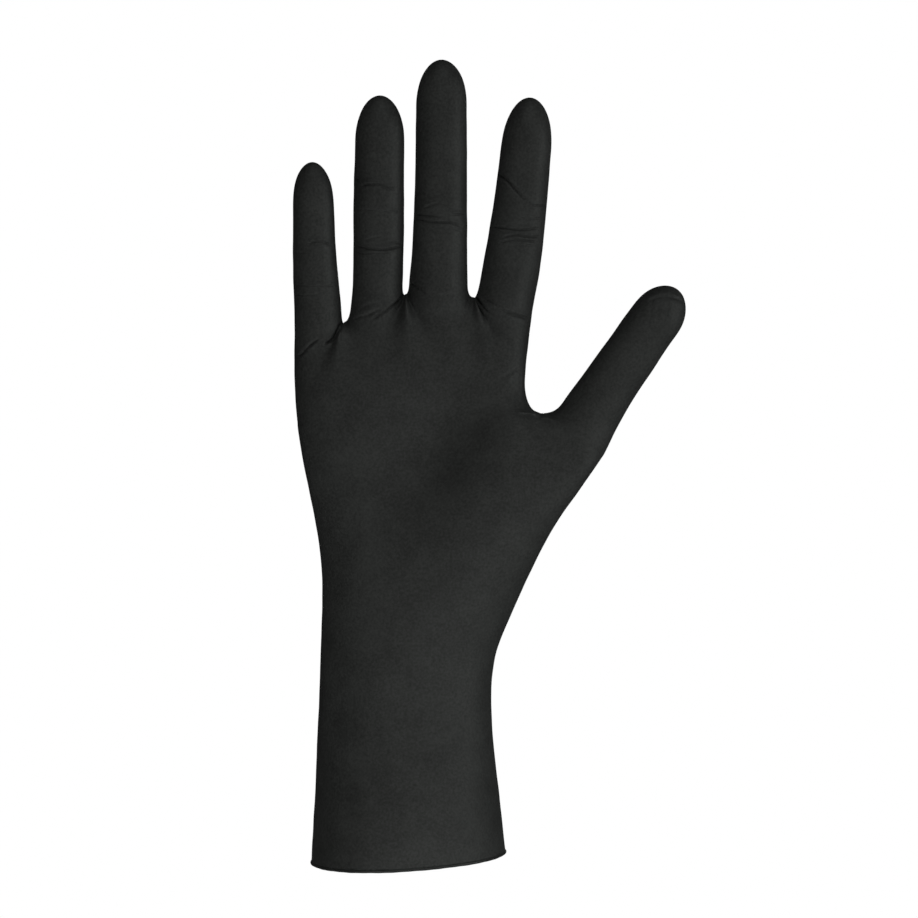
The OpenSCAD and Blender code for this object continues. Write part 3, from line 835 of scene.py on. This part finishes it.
def nitrile(name, dark, light, rough):
    """Black nitrile: a faint mottle, an uneven satin and a fine pebbled skin."""
    mat, tree, shader = new_material(name)
    link = tree.links.new
    shader.inputs["IOR"].default_value = 1.45
    shader.inputs["Specular IOR Level"].default_value = 0.14
    where = node(tree, "ShaderNodeTexCoord", -1200, 0)

    speck = noise(tree, 500, 1100.0, 2.0)
    cloud = noise(tree, 250, 90.0, 5.0, Roughness=0.62)
    cloud_share = node(tree, "ShaderNodeMath", -800, 300, operation="MULTIPLY")
    cloud_share.inputs[1].default_value = 0.4
    mottle = node(tree, "ShaderNodeMath", -750, 400, operation="MULTIPLY_ADD")
    mottle.inputs[1].default_value = 0.6
    tint = node(tree, "ShaderNodeValToRGB", -650, 250)
    for end, at, colour in zip(tint.color_ramp.elements, (0.36, 0.64), (dark, light)):
        end.position = at
        end.color = (*colour, 1)
    link(cloud.outputs["Fac"], cloud_share.inputs[0])
    link(speck.outputs["Fac"], mottle.inputs[0])
    link(cloud_share.outputs[0], mottle.inputs[2])
    link(mottle.outputs[0], tint.inputs["Fac"])
    link(tint.outputs["Color"], shader.inputs["Base Color"])

    patch = noise(tree, -50, 45.0, 4.0, Roughness=0.6)
    sheen = map_range(tree, (0.3, 0.7, *rough), x=-650, y=-50)
    link(patch.outputs["Fac"], sheen.inputs["Value"])
    link(sheen.outputs["Result"], shader.inputs["Roughness"])

    pebble = node(tree, "ShaderNodeTexVoronoi", -900, -350, Scale=1500.0)
    grain = noise(tree, -600, 2600.0, 3.0)
    skin_height = node(tree, "ShaderNodeMath", -650, -450, operation="ADD")
    ripple = noise(tree, -850, 260.0, 6.0, Roughness=0.65)
    soft = node(tree, "ShaderNodeBump", -500, -600, Strength=0.18, Distance=0.0002)
    fine = node(tree, "ShaderNodeBump", -300, -350, Strength=0.1, Distance=0.00005)
    link(pebble.outputs["Distance"], skin_height.inputs[0])
    link(grain.outputs["Fac"], skin_height.inputs[1])
    link(ripple.outputs["Fac"], soft.inputs["Height"])
    link(skin_height.outputs[0], fine.inputs["Height"])
    link(soft.outputs["Normal"], fine.inputs["Normal"])
    link(fine.outputs["Normal"], shader.inputs["Normal"])

    for texture in (cloud, speck, patch, pebble, grain, ripple):
        link(where.outputs["Object"], texture.inputs["Vector"])
    return mat


FILM_DARK, FILM_LIGHT = (0.0131, 0.0132, 0.0129), (0.0236, 0.0239, 0.0233)
# The bead's copy of the nitrile is darker than the film's: painted shade along the rolled
# edge.
BEAD_DARK, BEAD_LIGHT = (0.010, 0.0105, 0.010), (0.017, 0.0175, 0.017)
film_look = nitrile("black_nitrile", FILM_DARK, FILM_LIGHT, (0.52, 0.64))
bead_shaded_look = nitrile("bead_nitrile_painted_shade", BEAD_DARK, BEAD_LIGHT, (0.34, 0.46))


# ---- pieces ----


def make_mesh(name, co, faces, corner_normals, look):
    """A smooth piece from points in millimetres, in its slot for materials."""
    mesh = bpy.data.meshes.new(name)
    mesh.from_pydata((co * MM).tolist(), [], faces)
    mesh.polygons.foreach_set("use_smooth", [True] * len(faces))
    mesh.materials.append(look)
    if corner_normals is not None:
        mesh.normals_split_custom_set(corner_normals.tolist())
    obj = bpy.data.objects.new(name, mesh)
    bpy.context.scene.collection.objects.link(obj)
    return obj


def film_piece(name, co, normal, quads):
    """One piece of the film with its inner face and its cut edges, and the outer points
    of each edge on its rim."""
    used, local = np.unique(quads, return_inverse=True)
    local = local.reshape(-1, 4)
    outer, out = co[used], normal[used]
    n = len(used)
    inner = outer - out * FILM
    edges = np.concatenate([local[:, [i, (i + 1) % 4]] for i in range(4)])
    forward = edges[:, 0].astype(np.int64) * n + edges[:, 1]
    backward = edges[:, 1].astype(np.int64) * n + edges[:, 0]
    rim = edges[~np.isin(forward, backward)]
    walls = np.column_stack([rim[:, 1], rim[:, 0], rim[:, 0] + n, rim[:, 1] + n])
    points = np.concatenate([outer, inner])
    faces = np.concatenate([local, local[:, ::-1] + n, walls])
    p = points[walls]
    wall = np.cross(p[:, 1] - p[:, 0], p[:, 3] - p[:, 0])
    wall /= np.maximum(np.linalg.norm(wall, axis=1), 1e-12)[:, None]
    inward = -out[local[:, ::-1]]
    corner = [out[local].reshape(-1, 3), inward.reshape(-1, 3), np.repeat(wall, 4, axis=0)]
    piece = make_mesh(name, points, faces.tolist(), np.concatenate(corner), film_look)
    return piece, outer[rim]


def bead_piece(ring, sides=14):
    """The rolled edge: a slightly uneven ring that follows the film's lower edge."""
    centre = ring.mean(axis=0)
    order = np.argsort(np.arctan2(ring[:, 1] - centre[1], ring[:, 0] - centre[0]))
    ring = ring[order]
    n = len(ring)
    points = []
    for i in range(n):
        along = unit(ring[(i + 1) % n] - ring[i - 1])
        up = unit(np.array([0, 0, 1]) - along * along[2])
        out = np.cross(along, up)
        r = BEAD / 2 * (1 + 0.03 * math.sin(i * 0.21) + 0.02 * math.sin(i * 0.57 + 1))
        mid = ring[i] - up * (r * 0.8) - out * r / 2
        for k in range(sides):
            a = 2 * math.pi * k / sides
            points.append(mid + r * (math.cos(a) * out * 1.05 + math.sin(a) * up * 0.95))
    faces = []
    for i in range(n):
        for k in range(sides):
            a, b = i * sides + k, i * sides + (k + 1) % sides
            c, d = (i + 1) % n * sides + (k + 1) % sides, (i + 1) % n * sides + k
            faces.append((a, d, c, b))
    return make_mesh("cuff_bead_roll", np.array(points), faces, None, bead_shaded_look)


def shared(a, b):
    """Points of the skin that lie on the seam between two pieces."""
    return skin[np.intersect1d(quads[marks == a], quads[marks == b])]


cage = build_cage()
smooth_cage(cage)
skin, quads, marks = subdivide(cage)
skin = shape_film(skin, quads)
skin_normal = normals_of(skin, quads)

made = {}
for number, name in enumerate(PIECES):
    made[name], edge = film_piece(name, skin, skin_normal, quads[marks == number])
    if name == "cuff_film":
        opening = edge[edge[:, :, 2].max(axis=1) < 2 * CUFF_RISE][:, 0]

bead = bead_piece(opening)
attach(bead, "cuff")
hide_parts("cuff_bead")

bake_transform(made["cuff_film"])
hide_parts("cuff_sleeve", "wrist_fold_front", "wrist_fold_back")
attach(made["palm_film"], "palm")
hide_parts("palm_shell")

REACH = 7.0  # the span of film worked out round a knuckle reaches at most this far each way
CLEAR = 0.4  # and stops this short of a seam
for d in HAND:
    for i, joint in enumerate(d.joints):
        name, number = PIECES[FIRST[d.name] + i], FIRST[d.name] + i
        at, u = d.middle(d.knuckles[i]), d.axis(d.knuckles[i])
        below = float(((shared(number - 1 if i else 1, number) - at) @ u).max()) + CLEAR
        above = REACH
        if i + 1 < len(d.joints):
            above = min(above, float(((shared(number, number + 1) - at) @ u).min()) - CLEAR)
        if i:
            below = max(below, -REACH)
        parent, child = JOINTS[joint]["parent"], JOINTS[joint]["child"]
        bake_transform(made[name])
        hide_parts(child, joint.replace("_bend", "_fold"))


# ---- stage, lights and camera ----


def stage_floor(radius=0.45, rings=8, sides=64):
    """A pale round floor below the glove, which is held up; the photograph sees over it.
    It thins out into the white surround."""
    drop = -0.25
    points = [(0, 0, drop)]
    for r in range(1, rings + 1):
        reach = radius * r / rings
        for k in range(sides):
            turn = 2 * math.pi * k / sides
            points.append((reach * math.cos(turn), reach * math.sin(turn), drop))
    faces = [(0, 1 + k, 1 + (k + 1) % sides) for k in range(sides)]
    for r in range(rings - 1):
        a = 1 + r * sides
        faces += [(a + k, a + sides + k, a + sides + (k + 1) % sides, a + (k + 1) % sides)
                  for k in range(sides)]
    mesh = bpy.data.meshes.new("floor")
    mesh.from_pydata(points, [], faces)
    mat, tree, shader = new_material("floor_paint")
    shader.inputs["Base Color"].default_value = (0.9, 0.9, 0.9, 1)
    shader.inputs["Roughness"].default_value = 0.9
    where = node(tree, "ShaderNodeTexCoord")
    away = node(tree, "ShaderNodeVectorMath", operation="LENGTH")
    fade = map_range(tree, (0.27, 0.5, 0.8, 0))
    tree.links.new(where.outputs["Object"], away.inputs[0])
    tree.links.new(away.outputs["Value"], fade.inputs["Value"])
    tree.links.new(fade.outputs["Result"], shader.inputs["Alpha"])
    mesh.materials.append(mat)
    floor = bpy.data.objects.new("floor", mesh)
    bpy.context.scene.collection.objects.link(floor)


def area_light(name, place, look_at, size, power, colour):
    """A lamp of a width and height that the camera doesn't see."""
    data = bpy.data.lights.new(name, "AREA")
    data.shape = "RECTANGLE"
    data.size, data.size_y = size
    data.energy = power
    data.color = colour
    lamp = bpy.data.objects.new(name, data)
    lamp.location = place
    lamp.visible_camera = False
    lamp.rotation_euler = (Vector(look_at) - Vector(place)).to_track_quat("-Z", "Y").to_euler()
    bpy.context.scene.collection.objects.link(lamp)


def white_world():
    """Pure white behind the glove, which itself gets only a dim light from it."""
    world = bpy.data.worlds.new("studio")
    bpy.context.scene.world = world
    world.use_nodes = True
    tree = world.node_tree
    seen = tree.nodes["Background"]
    seen.inputs["Color"].default_value = (1, 1, 1, 1)
    dim = node(tree, "ShaderNodeBackground", Color=(1, 1, 1, 1), Strength=0.05)
    ray = node(tree, "ShaderNodeLightPath")
    either = node(tree, "ShaderNodeMixShader")
    tree.links.new(ray.outputs["Is Camera Ray"], either.inputs["Fac"])
    tree.links.new(dim.outputs["Background"], either.inputs[1])
    tree.links.new(seen.outputs["Background"], either.inputs[2])
    tree.links.new(either.outputs["Shader"], tree.nodes["World Output"].inputs["Surface"])


stage_floor()
MIDDLE = (0.0188, 0.0, 0.1487)  # what the camera looks at
COOL, WARM = (0.955, 1.0, 0.975), (1.0, 0.98, 0.94)
area_light("side", (1.35, -0.6, 0.1), MIDDLE, (0.8, 1.1), 12.4, COOL)
area_light("top", (0.15, -0.8, 1.1), (0.02, 0.0, 0.24), (0.6, 0.6), 4.3, COOL)
area_light("fill", (-0.6, -1.3, 0.6), (0.0, 0.0, 0.26), (0.6, 0.6), 1.0, WARM)
area_light("low_left", (-0.2, -0.4, -0.16), (-0.01, 0.0, 0.02), (0.24, 0.24), 1.02, COOL)
area_light("low_right", (0.15, -0.45, -0.12), (0.01, 0.0, 0.03), (0.24, 0.24), 0.8, COOL)
area_light("rear", (0.02, 1.2, 0.14), MIDDLE, (0.25, 0.25), 12, COOL)
white_world()

DISTANCE = 1.05  # from the camera to the middle of the glove
VIEW_WIDTH = 0.3424  # width of the picture at that distance
camera_data = bpy.data.cameras.new("camera")
camera_data.sensor_width = 36
camera_data.lens = camera_data.sensor_width * DISTANCE / VIEW_WIDTH
camera = bpy.data.objects.new("camera", camera_data)
camera.location = (MIDDLE[0], -DISTANCE, MIDDLE[2])
camera.rotation_euler = (math.pi / 2, 0, 0)
bpy.context.scene.collection.objects.link(camera)
bpy.context.scene.camera = camera
bpy.context.scene.view_settings.view_transform = "Standard"
